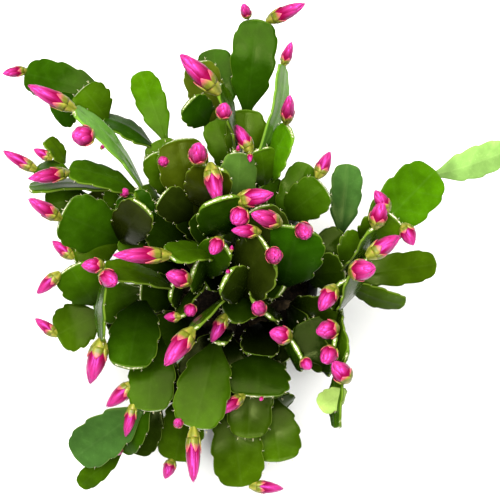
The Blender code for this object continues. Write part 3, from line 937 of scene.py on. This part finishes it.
# %% Stem in the middle
STEMS |= {
    "middle": {
        "foot": (0, 4, 0, 6),
        "joints": [
            (0, 0, (-6, 10, 150), 24, 40),
            (1, -0.2, (-10, 29, 200), 31, 12),
            (0, 0.6, (30, -24, 142), 24, 0),
            (1, 0.4, (3, 57, 178), 24, 20),
            (0, -0.5, (-22, 22, 142), 24, 0),
            (5, 0.5, (-14, 49, 190), 29, 0),
            (5, -0.5, (-34, 65, 172), 32, 0),
            (3, -0.8, (13, 24, 190), 28, 0),
            (3, 0, (38, 12, 182), 38, 0),
            (0, 1, (8, -26, 142), 22, 0),
            (10, 0.8, (20, -1, 186), 40, -35),
            (0, -0.8, (-20, -20, 130), 22, 0),
            (0, -1, (-12, -4, 160), 22, 40),
            (13, 0, (-40, -5, 180), 24, 58),
            (12, 1, (-6, 1, 180), 22, 0),
            (12, 0, (-25, -14, 164), 24, 35),
            (10, -0.3, (-26, -50, 162), 20, 84),
            (10, 0, (-6, -19, 180), 24, 0),
            (0, 0.6, (20, -34, 128), 20, 0),
            (19, -0.4, (-6, -41, 140), 20, 30),
            (19, 0.4, (16, -38, 160), 26, 0),
            (5, -0.8, (-44, 31, 158), 22, 0),
            (12, -0.5, (-33, -42, 140), 12, 60),
        ],
        "buds": [
            (2, 1.2, (23, 32), 22, 11), (8, -1, (-1, 15), 12, 12), (4, -0.2, (2, 61), 5, 2.6),
            (4, 0.9, (9, 51), 7, 3.5), (6, -1, (-22, 62), 18, 11.5), (6, -0.1, (-10, 26), 24, 11),
            (9, -1, (10, 20), 22, 10.5), (9, 0.2, (43, 7), 18, 10.5), (11, -1, (-2, 10), 18, 8),
            (11, 0.4, (25, -5), 18, 10), (15, -0.7, (-14, -4), 15, 9), (15, 0.8, (-1, 5), 4, 2.6),
            (14, 0, (-73, -5), 34, 10), (16, -1, (-41, -16), 17, 11), (17, 0, (-42, -71), 27, 12),
            (18, 0.7, (-5, -15), 4, 2.6), (20, 0, (-14, -57), 18, 8.5), (21, 0, (12, -35), 16, 9),
            (23, 0, (-43, -42), 9.5, 6.5), (23, -1.25, (-28, -40), 9, 8),
            (7, -1.25, (-44, 52), 8, 7),
        ],
    },
}

# %% [markdown]
# ## Laying out a stem
#
# These sums place the joints as in the CAD model. They turn a place along a line of
# sight into a place in the frame, and give each joint its root, its tip, and the
# directions along it, across it and out of its face.

# %% Places in the frame
SOIL_TOP = 84 * MM
FOOT_RADIUS = 4.6 * MM
FOOT_TOP = 107 * MM
FOOT_TOP_RADIUS = 3.6 * MM
ROOT_SINK = 2.2 * MM
ARCH = 0.07
SHOULDER_SHARE = 0.58
SIGHT_ELEVATION = math.radians(68)
SIGHT_DISTANCE = 700 * MM
SIGHT_TARGET = Vector((9 * MM, 0, 150 * MM))
TO_VIEWER = Vector((0, -math.cos(SIGHT_ELEVATION), math.sin(SIGHT_ELEVATION)))
SIGHT_UP = Vector((0, math.sin(SIGHT_ELEVATION), math.cos(SIGHT_ELEVATION)))
VIEWER = SIGHT_TARGET + SIGHT_DISTANCE * TO_VIEWER


def sight_ray(across, up):
    return SIGHT_TARGET + (across * MM - SIGHT_TARGET.x) * Vector((1, 0, 0)) + up * MM * SIGHT_UP - VIEWER


def rim_point(joint, at):
    back = max(0.0, abs(at) - 1)
    across = max(-1.0, min(1.0, at)) * (SHOULDER_SHARE + 0.5 * back) * joint["width"] / 2
    return joint["tip"] + joint["across"] * across - joint["along"] * back * joint["length"]


def place_joints(stem):
    top = Vector(stem["foot"][2:] + (0,)) * MM + Vector((0, 0, FOOT_TOP))
    joints = []
    for parent, at, (seen_across, seen_up, height), width, turn in stem["joints"]:
        if parent == 0:
            root = top + Vector((at * FOOT_TOP_RADIUS, 0, -ROOT_SINK))
        else:
            below = joints[parent - 1]
            root = rim_point(below, at) - ROOT_SINK * below["along"]
        ray = sight_ray(seen_across, seen_up)
        tip = VIEWER + ray * ((height * MM - VIEWER.z) / ray.z)
        along = (tip - root).normalized()
        face = (TO_VIEWER - TO_VIEWER.dot(along) * along).normalized()
        face = Matrix.Rotation(math.radians(turn), 3, along) @ face
        joints.append({"root": root, "tip": tip, "along": along, "across": along.cross(face),
                       "face": face, "length": (tip - root).length, "width": width * MM})
    return joints


def bud_axis(joint, at, seen, length):
    """Root and tip of a bud that stands on a joint's tip and ends on its line of sight."""
    root = rim_point(joint, at)
    ray = sight_ray(*seen).normalized()
    near = VIEWER + (root - VIEWER).dot(ray) * ray
    off, reach = (root - near).length, length * MM
    if off < reach:
        return root, near - ray * math.sqrt(reach ** 2 - off ** 2)
    return root, root + (near - root).normalized() * reach


# %% [markdown]
# ## Bending a joint to its place
#
# A joint arches a little toward the light, and no two margins wave alike. So each
# copy is laid point by point: its own across, along and thickness become steps along
# the joint's directions in the frame.

# %% Laying joints
MARGIN_WAVE = 0.9 * MM
MARGIN_CURL = 0.6
WAVES_ALONG = 7.0
SIDE_PHASE = 1.3
# Painted shade: a joint is coloured darker the deeper it lies in the plant's core, where shade
# falls, and darker at its root than at its tip, partly painted shade and partly older skin:
# where the steps are, and the share of the tone that is left there
CORE = (0, -10 * MM, 95 * MM)
CORE_REACH = (120 * MM, 120 * MM, 95 * MM)
PAINTED_CORE_SHADE = (0.35, 0.62, 0.92), (0.03, 0.34, 1.0)
ROOT_AGE_AND_PAINTED_SHADE = (0.0, 0.3, 0.95), (0.48, 0.84, 1.15)
# Painted shade, as light falls on a cupped joint: one half of a joint, left or right of its
# midrib, is lighter by up to this share, the other darker
PAINTED_HALF_SHADE = 0.16


def lay(joint, across, along, depth):
    """Places in the frame of points on a joint, from half widths across and lengths along it."""
    lift = joint["length"] * ARCH * np.sin(np.pi * along) + depth
    lift = lift + MARGIN_WAVE * across ** 2 * np.sin(np.pi * np.clip(along, 0, 1)) * (
        joint["curl"] + np.sin(WAVES_ALONG * along + joint["phase"] + SIDE_PHASE * np.sign(across)))
    return (np.outer(along * joint["length"], joint["along"]) + np.outer(lift, joint["face"])
            + np.outer(across * joint["width"] / 2, joint["across"]) + np.array(joint["root"]))


def inner_depth(points):
    """How far out of the plant's core points lie: 0 in its middle, 1 on a dome over it."""
    return np.linalg.norm((points - np.array(CORE)) / np.array(CORE_REACH), axis=1)


def lay_joint(joint):
    blade = copy_of(joint_master)
    x, y, z = read_points(blade).T
    across, along = x / JOINT_HALF, y / JOINT_LENGTH
    here = lay(joint, across, along, z)
    blade.data.vertices.foreach_set("co", here.ravel())
    # Painted shade: darker deep in the core and toward the root, and one half lighter than the other
    light = np.interp(along, *ROOT_AGE_AND_PAINTED_SHADE) * np.interp(inner_depth(here), *PAINTED_CORE_SHADE)
    light *= 1 + PAINTED_HALF_SHADE * math.cos(joint["phase"]) * np.tanh(3 * across)
    shaded = np.ones((len(x), 4))
    shaded[:, :3] = np.outer(light, joint["tone"])
    tone = blade.data.attributes.new("tone", "FLOAT_COLOR", "POINT")
    tone.data.foreach_set("color", shaded.ravel())
    return blade


# %% [markdown]
# Buds and bristles are stiff. They keep the form of their master and are only sized,
# turned to point the right way and moved, which one matrix does at once.

# %% Laying buds and bristles
# The scales reach 7 % past the master's radius, so a bud's girth is trimmed by nearly as much
BUD_TRIM = 0.94
TUFT = 3
TIP_TUFTS = (-0.5, -0.2, 0.15, 0.45)
BRISTLE_SIZES = (0.6, 1.3)
BRISTLE_STRAY = 0.4
BRISTLE_SINK = 0.2 * MM
BRISTLE_RISE = 0.5
BRISTLE_FAN = 0.6
WOOL_LINE = 0.995


def stand_at(root, way):
    """Turns what points up to point another way, and moves its base to the root."""
    return Matrix.Translation(root) @ Vector((0, 0, 1)).rotation_difference(way).to_matrix().to_4x4()


def lay_bud(joint, at, seen, length, thickness):
    root, tip = bud_axis(joint, at, seen, length)
    girth = BUD_TRIM * thickness * MM / 2 / BUD_RADIUS
    stretch = (tip - root).length / BUD_LENGTH
    bud = copy_of(bud_master)
    bud.data.transform(stand_at(root, tip - root) @ Matrix.Diagonal((girth, girth, stretch, 1)))
    return bud


def lay_bristle(root, way, chance):
    spin = Matrix.Rotation(chance.uniform(0, 2 * math.pi), 4, "Z")
    size = Matrix.Scale(chance.uniform(*BRISTLE_SIZES), 4)
    bristle = copy_of(bristle_master)
    bristle.data.transform(stand_at(root, way) @ spin @ size)
    return bristle


def lay_bristles(joint, chance):
    """Tufts at the notches on both margins and along the tip."""
    shares = dict(ROWS)
    spots = [(side * shares[notch], notch, side * joint["across"] + BRISTLE_RISE * joint["along"])
             for notch in NOTCHES for side in (-1, 1)]
    spots += [(across, WOOL_LINE, joint["along"] + BRISTLE_FAN * across * joint["across"])
              for across in TIP_TUFTS]
    made = []
    for across, along, way in spots:
        root = Vector(lay(joint, np.array([across]), np.array([along]), 0)[0])
        for _ in range(TUFT):
            stray = Vector([chance.gauss(0, BRISTLE_STRAY) for _ in range(3)])
            made.append(lay_bristle(root - BRISTLE_SINK * way, way + stray, chance))
    return made


# %% [markdown]
# ## The tone of each joint
#
# Young joints are lime, others deep green or olive. On joints that face the sky, the
# sky's reflection is painted in as a bluish green tone, and joints deep in the plant's
# shade get a dark or brown tone, which is painted shade. A random tone for every joint
# would be shorter, but the plant is known by the joints that stand out, so those are
# named here. All the others get a middle green, with a small difference of their own.

# %% Tones
TONES = {
    "middle": "#2b4402", "lime": "#7aa050", "yellow": "#84964a", "bright": "#385c02", "pale": "#4f7a24",
    "deep": "#1b3601", "olive": "#2c3302", "moss": "#3a4308", "painted_sky_sheen": "#2e4f1e", "grey": "#36501a",
    "brown": "#1c2403", "dark": "#1a2602",
}
TONED = {
    "lime": ("right.5",),
    "yellow": ("right_low.7",),
    "pale": ("left_high.3", "back_right.7"),
    "bright": ("right.4", "back_left.7", "back_right.5"),
    "olive": ("middle.6", "middle.7", "left.4"),
    "moss": ("back.6",),
    # Painted shade: the brown and dark tones stand for joints that lie in the plant's shade
    "brown": ("middle.8", "middle.11", "middle.22", "left.8"),
    "dark": ("left_low.9", "front_left.6", "front_left.7", "front.1", "front.3", "front_right.1",
             "front_right.7", "middle.18", "middle.19", "middle.21"),
    "deep": ("middle.2", "middle.9", "left_high.7", "back.3", "back.5", "back.7", "back_left.3",
             "back_left.5", "back_left.6", "left.5", "left_low.8", "front_left.4", "front_right.8"),
    # Painted reflection: the bluish green tone of these joints stands for the sky reflected on them
    "painted_sky_sheen": ("front_left.3", "right.11"),
    "grey": ("middle.4",),
}
TONE_SPREAD = 0.14


def tone_of(name, number, chance):
    key = f"{name}.{number}"
    found = [tone for tone, joints in TONED.items() if key in joints]
    colour = tint(TONES[found[0] if found else "middle"])
    light = 1 + chance.uniform(-TONE_SPREAD, TONE_SPREAD)
    warm = 1 + chance.uniform(-TONE_SPREAD, TONE_SPREAD)
    return [colour[0] * light * warm, colour[1] * light, colour[2] * light]


print(sum(len(joints) for joints in TONED.values()), "joints have a tone of their own")

# %% [markdown]
# ## The foot of a stem
#
# The foot is a short corky stub with ridged bark. It stands in its hole in the soil,
# leans outward, and the first joints grow from its top. It is drawn up from a circle,
# its alternate points are pushed out for the ridges, and a subdivision rounds it. A
# cylinder displaced by noise would need far more points for the same ridges.

# %% Foot
FOOT_SIDES = 10
FOOT_SINK = 20 * MM
FOOT_RISE = FOOT_TOP - SOIL_TOP
FOOT_GIRTH = 0.93
# Height over the soil as a share of the rise, share of the girth, and share of the lean
FOOT_RINGS = ((-FOOT_SINK / FOOT_RISE, 1.0, 0.0), (0.0, 1.0, 0.0), (0.13, 1.02, 0.06), (0.4, 0.86, 0.35),
              (0.7, 0.78, 0.68), (0.93, 0.76, 0.95), (1.0, 0.55, 1.0))
BARK_RIDGE = 1.09


def model_foot(stem):
    x, y, top_x, top_y = (value * MM for value in stem["foot"])
    foot = draw_up("foot", FOOT_SIDES, [
        (share * FOOT_GIRTH * FOOT_RADIUS,
         (x + lean * (top_x - x), y + lean * (top_y - y), SOIL_TOP + height * FOOT_RISE))
        for height, share, lean in FOOT_RINGS])
    choose(foot, lambda point: point.index % 2 == 0)
    resize(BARK_RIDGE, BARK_RIDGE, 1, ((x + top_x) / 2, (y + top_y) / 2, 0))
    end_edit_outward()
    foot.data.materials.append(cork)
    finish_with(foot, "SUBSURF", levels=1, render_levels=1)
    return foot


# %% [markdown]
# ## The stems
#
# Each stem becomes three pieces: its joints with their foot, its buds, and its
# bristles. The three together stand for the stem's one CAD solid. Each copy could stay
# an object of its own, but thousands of objects are slow to work with. What would reach
# out of the box of the CAD is drawn in by less than a millimetre.

# %% Making the stems
BOX_BAND = 4 * MM
BOX_EASE = 0.2


def hold_in_box(piece):
    """Draws in what lies in the outermost 4 mm of the CAD box, or up to 1 mm past it."""
    points = read_points(piece)
    for way, corner in ((-1, cad_box[0]), (1, cad_box[1])):
        past = np.maximum(way * (points - np.array(corner)) / BOX_BAND + 1, 0)
        points = points - way * BOX_BAND * (past - past / (1 + BOX_EASE * past))
    piece.data.vertices.foreach_set("co", points.ravel())
    piece.data.update()


def make_stem(name, stem):
    chance = random.Random(name)
    joints = place_joints(stem)
    for number, joint in enumerate(joints, 1):
        joint["tone"] = tone_of(name, number, chance)
        joint["phase"] = chance.uniform(0, 2 * math.pi)
        joint["curl"] = chance.uniform(-MARGIN_CURL, MARGIN_CURL)
    blades = join(f"stem_{name}_joints", [lay_joint(joint) for joint in joints] + [model_foot(stem)])
    buds = join(f"stem_{name}_buds", [lay_bud(joints[number - 1], *bud) for number, *bud in stem["buds"]])
    tufts = [bristle for joint in joints for bristle in lay_bristles(joint, chance)]
    bristles = join(f"stem_{name}_bristles", tufts)
    for piece in (blades, buds, bristles):
        hold_in_box(piece)
        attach(piece, "root")
        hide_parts(f"stem_{name}")
    return blades, buds, bristles


for name, stem in STEMS.items():
    made = make_stem(name, stem)
    print(made[0].name, [len(piece.data.polygons) for piece in made], "faces")
remove(joint_master, bud_master, bristle_master)

# %% [markdown]
# ## The pot
#
# The photograph hides the pot, so it is the plainest common kind: tapered, moulded in
# one piece, with a deep rolled rim and five drain holes. Its wall section is drawn as
# a chain of points and spun round the axis, which keeps wall, rim and floor one closed
# skin, as stacked cylinders wouldn't. The drain holes are cut with cylinders.

# %% Pot
POT_HEIGHT = 92 * MM
POT_BASE_RADIUS = 37.5 * MM
POT_TOP_RADIUS = 49 * MM
POT_RIM_RADIUS = 52.5 * MM
POT_RIM_DEPTH = 11 * MM
POT_WALL = 1.8 * MM
POT_FLOOR = 2.2 * MM
POT_STEPS = 96
POT_CREASE = math.radians(35)
DRAIN_HOLES = 5
DRAIN_RADIUS = 4.5 * MM
DRAIN_CIRCLE = 24 * MM
shoulder = POT_HEIGHT - POT_RIM_DEPTH


def inner_radius(height):
    return POT_BASE_RADIUS + (POT_TOP_RADIUS - POT_BASE_RADIUS) * height / shoulder - POT_WALL


POT_SECTION = (
    (0, 0), (POT_BASE_RADIUS - 3.0 * MM, 0), (POT_BASE_RADIUS - 1.0 * MM, 0.3 * MM),
    (POT_BASE_RADIUS, 1.5 * MM), (POT_TOP_RADIUS, shoulder),
    (POT_TOP_RADIUS + 0.8 * MM, shoulder + 0.2 * MM),
    (POT_RIM_RADIUS - 0.6 * MM, shoulder + 0.8 * MM), (POT_RIM_RADIUS, shoulder + 2.2 * MM),
    (POT_RIM_RADIUS + 0.5 * MM, POT_HEIGHT - 2.0 * MM), (POT_RIM_RADIUS + 0.2 * MM, POT_HEIGHT - 0.6 * MM),
    (POT_RIM_RADIUS - 0.6 * MM, POT_HEIGHT), (POT_RIM_RADIUS - 1.4 * MM, POT_HEIGHT - 0.3 * MM),
    (POT_RIM_RADIUS - POT_WALL, POT_HEIGHT - 1.2 * MM), (inner_radius(shoulder), shoulder + 1.2 * MM),
    (inner_radius(POT_FLOOR), POT_FLOOR), (0, POT_FLOOR),
)


def model_pot():
    pot = add_primitive("pot_moulded", bpy.ops.mesh.primitive_plane_add, size=POT_FLOOR)
    start_edit(pot)
    bpy.ops.mesh.delete(type="VERT")
    shape = bmesh.from_edit_mesh(pot.data)
    chain = [shape.verts.new((radius, 0, height)) for radius, height in POT_SECTION]
    for first, second in zip(chain, chain[1:]):
        shape.edges.new((first, second))
    bmesh.update_edit_mesh(pot.data)
    bpy.ops.mesh.select_all(action="SELECT")
    bpy.ops.mesh.spin(steps=POT_STEPS, angle=2 * math.pi, center=(0, 0, 0), axis=(0, 0, 1))
    bpy.ops.mesh.select_all(action="SELECT")
    bpy.ops.mesh.remove_doubles(threshold=0.01 * MM)
    bpy.ops.mesh.normals_make_consistent(inside=False)
    end_edit()
    pot.data.materials.append(plastic)
    for i in range(DRAIN_HOLES):
        turn = 2 * math.pi * (i + 0.5) / DRAIN_HOLES
        hole = add_primitive("drain", bpy.ops.mesh.primitive_cylinder_add, vertices=32, radius=DRAIN_RADIUS,
                             depth=4 * POT_FLOOR,
                             location=(DRAIN_CIRCLE * math.cos(turn), DRAIN_CIRCLE * math.sin(turn), 0))
        finish_with(pot, "BOOLEAN", operation="DIFFERENCE", solver="EXACT", object=hole)
        remove(hole)
    select_only(pot)
    bpy.ops.object.shade_smooth_by_angle(angle=POT_CREASE)
    return pot


pot = model_pot()
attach(pot, "root")
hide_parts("pot")
tell("pot", pot)

# %% [markdown]
# ## The soil
#
# The bed is a plug of soil with an uneven top. Its top is inset ring by ring and
# displaced by a cloud texture, and loose crumbs lie on it, some of them flat. A crumb is
# a small sphere of 20 faces, knocked out of shape once, then copied, turned and sized.
# A bed made of loose grains alone would need many thousands of them.

# %% Soil
SOIL_SIDES = 72
SOIL_LUMP = 3.0 * MM
LUMP_SPACING = 9 * MM
SOIL_EDGE = 0.3 * MM
BED_RINGS = 12
SOIL_SEED = 11
CRUMBS = 420
CRUMB_SIZES = (0.5 * MM, 1.7 * MM)
CRUMB_MARGIN = 2.5 * MM
CRUMB_SINK = 0.2 * MM


def model_bed():
    edge = inner_radius(SOIL_TOP) - SOIL_EDGE
    bed = draw_up("bed", SOIL_SIDES, [(inner_radius(POT_FLOOR) - SOIL_EDGE, (0, 0, POT_FLOOR + SOIL_EDGE)),
                                      (edge, (0, 0, SOIL_TOP))])
    for _ in range(BED_RINGS):
        bpy.ops.mesh.inset(thickness=edge / (BED_RINGS + 2))
    bpy.ops.mesh.merge(type="CENTER")
    end_edit_outward()
    top = bed.vertex_groups.new(name="top")
    top.add([point.index for point in bed.data.vertices
             if point.co.z > SOIL_TOP - 1 * MM and point.co.xy.length < edge - 1 * MM], 1, "REPLACE")
    lumps = bpy.data.textures.new("soil_lumps", "CLOUDS")
    lumps.noise_scale = LUMP_SPACING
    lumps.noise_depth = 3
    finish_with(bed, "DISPLACE", texture=lumps, texture_coords="LOCAL", strength=SOIL_LUMP,
                mid_level=0.6, vertex_group="top", direction="Z")
    bed.data.materials.append(earth)
    return bed


def model_crumb():
    crumb = add_primitive("crumb_master", bpy.ops.mesh.primitive_ico_sphere_add, subdivisions=1, radius=1)
    start_edit(crumb)
    for share, step, first in ((1.25, 3, 0), (0.8, 4, 1)):
        choose(crumb, lambda point: point.index % step == first)
        resize(share, 1 / share, share)
    end_edit()
    crumb.data.materials.append(earth)
    return crumb


def make_soil():
    chance = random.Random(SOIL_SEED)
    crumb_master = model_crumb()
    crumbs = []
    for _ in range(CRUMBS):
        turn = chance.uniform(0, 2 * math.pi)
        out = math.sqrt(chance.random()) * (inner_radius(SOIL_TOP) - CRUMB_MARGIN)
        size = chance.uniform(*CRUMB_SIZES)
        height = SOIL_TOP - CRUMB_SINK + 0.3 * size
        spot = Matrix.Translation((out * math.cos(turn), out * math.sin(turn), height))
        tumbled = Matrix.Rotation(chance.uniform(0, 6), 4, Vector([chance.gauss(0, 1) for _ in range(3)]))
        shape = Matrix.Diagonal((size, size * 0.7, size * chance.uniform(0.4, 1), 1))
        crumb = copy_of(crumb_master)
        crumb.data.transform(spot @ tumbled @ shape)
        crumbs.append(crumb)
    remove(crumb_master)
    return join("soil_bed", [model_bed()] + crumbs)


soil = make_soil()
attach(soil, "root")
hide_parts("soil")
tell("soil", soil)

# %% [markdown]
# ## Floor, light and camera
#
# The photograph looks steeply down on the plant, cut out on white, in soft daylight
# from above. So the floor is nearly white, a large soft light hangs over the plant, a
# little to its left, and a weaker one in front is small, so that it glints on some
# joints. The camera looks along the line of sight that places the joints.

# %% Stage
FLOOR_SIZE = 6.0
FLOOR_DROP = 0.1 * MM
FILM_WIDTH = 36
FRAME_WIDTH = 300 * MM
SKY_STRENGTH = 0.15
# Place and size in metres, power in watts, and colour
WINDOW_ABOVE = (-0.13, -0.02, 1.15), 0.9, 36.3, "#fffdf8"
FILL_IN_FRONT = (0.12, -0.55, 1.1), 0.14, 7, "#ffffff"


def make_floor():
    floor = add_primitive("floor", bpy.ops.mesh.primitive_plane_add, size=FLOOR_SIZE,
                          location=(0, 0, -FLOOR_DROP))
    paper, _ = new_material("matt_paper", Base_Color=tint("#f7f7f5"), Roughness=0.9)
    floor.data.materials.append(paper)


def add_light(name, place, size, power, colour):
    lamp = bpy.data.lights.new(name, "AREA")
    lamp.size = size
    lamp.energy = power
    lamp.color = tint(colour)[:3]
    thing = bpy.data.objects.new(name, lamp)
    thing.location = place
    thing.rotation_euler = (SIGHT_TARGET - Vector(place)).to_track_quat("-Z", "Y").to_euler()
    bpy.context.scene.collection.objects.link(thing)


def make_camera():
    lens = bpy.data.cameras.new("camera")
    lens.sensor_width = FILM_WIDTH
    lens.lens = FILM_WIDTH * SIGHT_DISTANCE / FRAME_WIDTH
    camera = bpy.data.objects.new("camera", lens)
    camera.location = VIEWER
    camera.rotation_euler = (math.radians(90) - SIGHT_ELEVATION, 0, 0)
    bpy.context.scene.collection.objects.link(camera)
    bpy.context.scene.camera = camera


make_floor()
add_light("window_above", *WINDOW_ABOVE)
add_light("fill_front", *FILL_IN_FRONT)
make_camera()
sky = bpy.data.worlds.new("soft_sky")
bpy.context.scene.world = sky
sky.use_nodes = True
background = sky.node_tree.nodes["Background"]
background.inputs["Color"].default_value = tint("#eef4ff")
background.inputs["Strength"].default_value = SKY_STRENGTH
bpy.context.scene.view_settings.view_transform = "Standard"

# %% [markdown]
# ## Measuring
#
# The box of the CAD model is printed.

# %% Measuring and finishing
print("CAD box  ", [[round(value / MM, 1) for value in corner] for corner in cad_box])
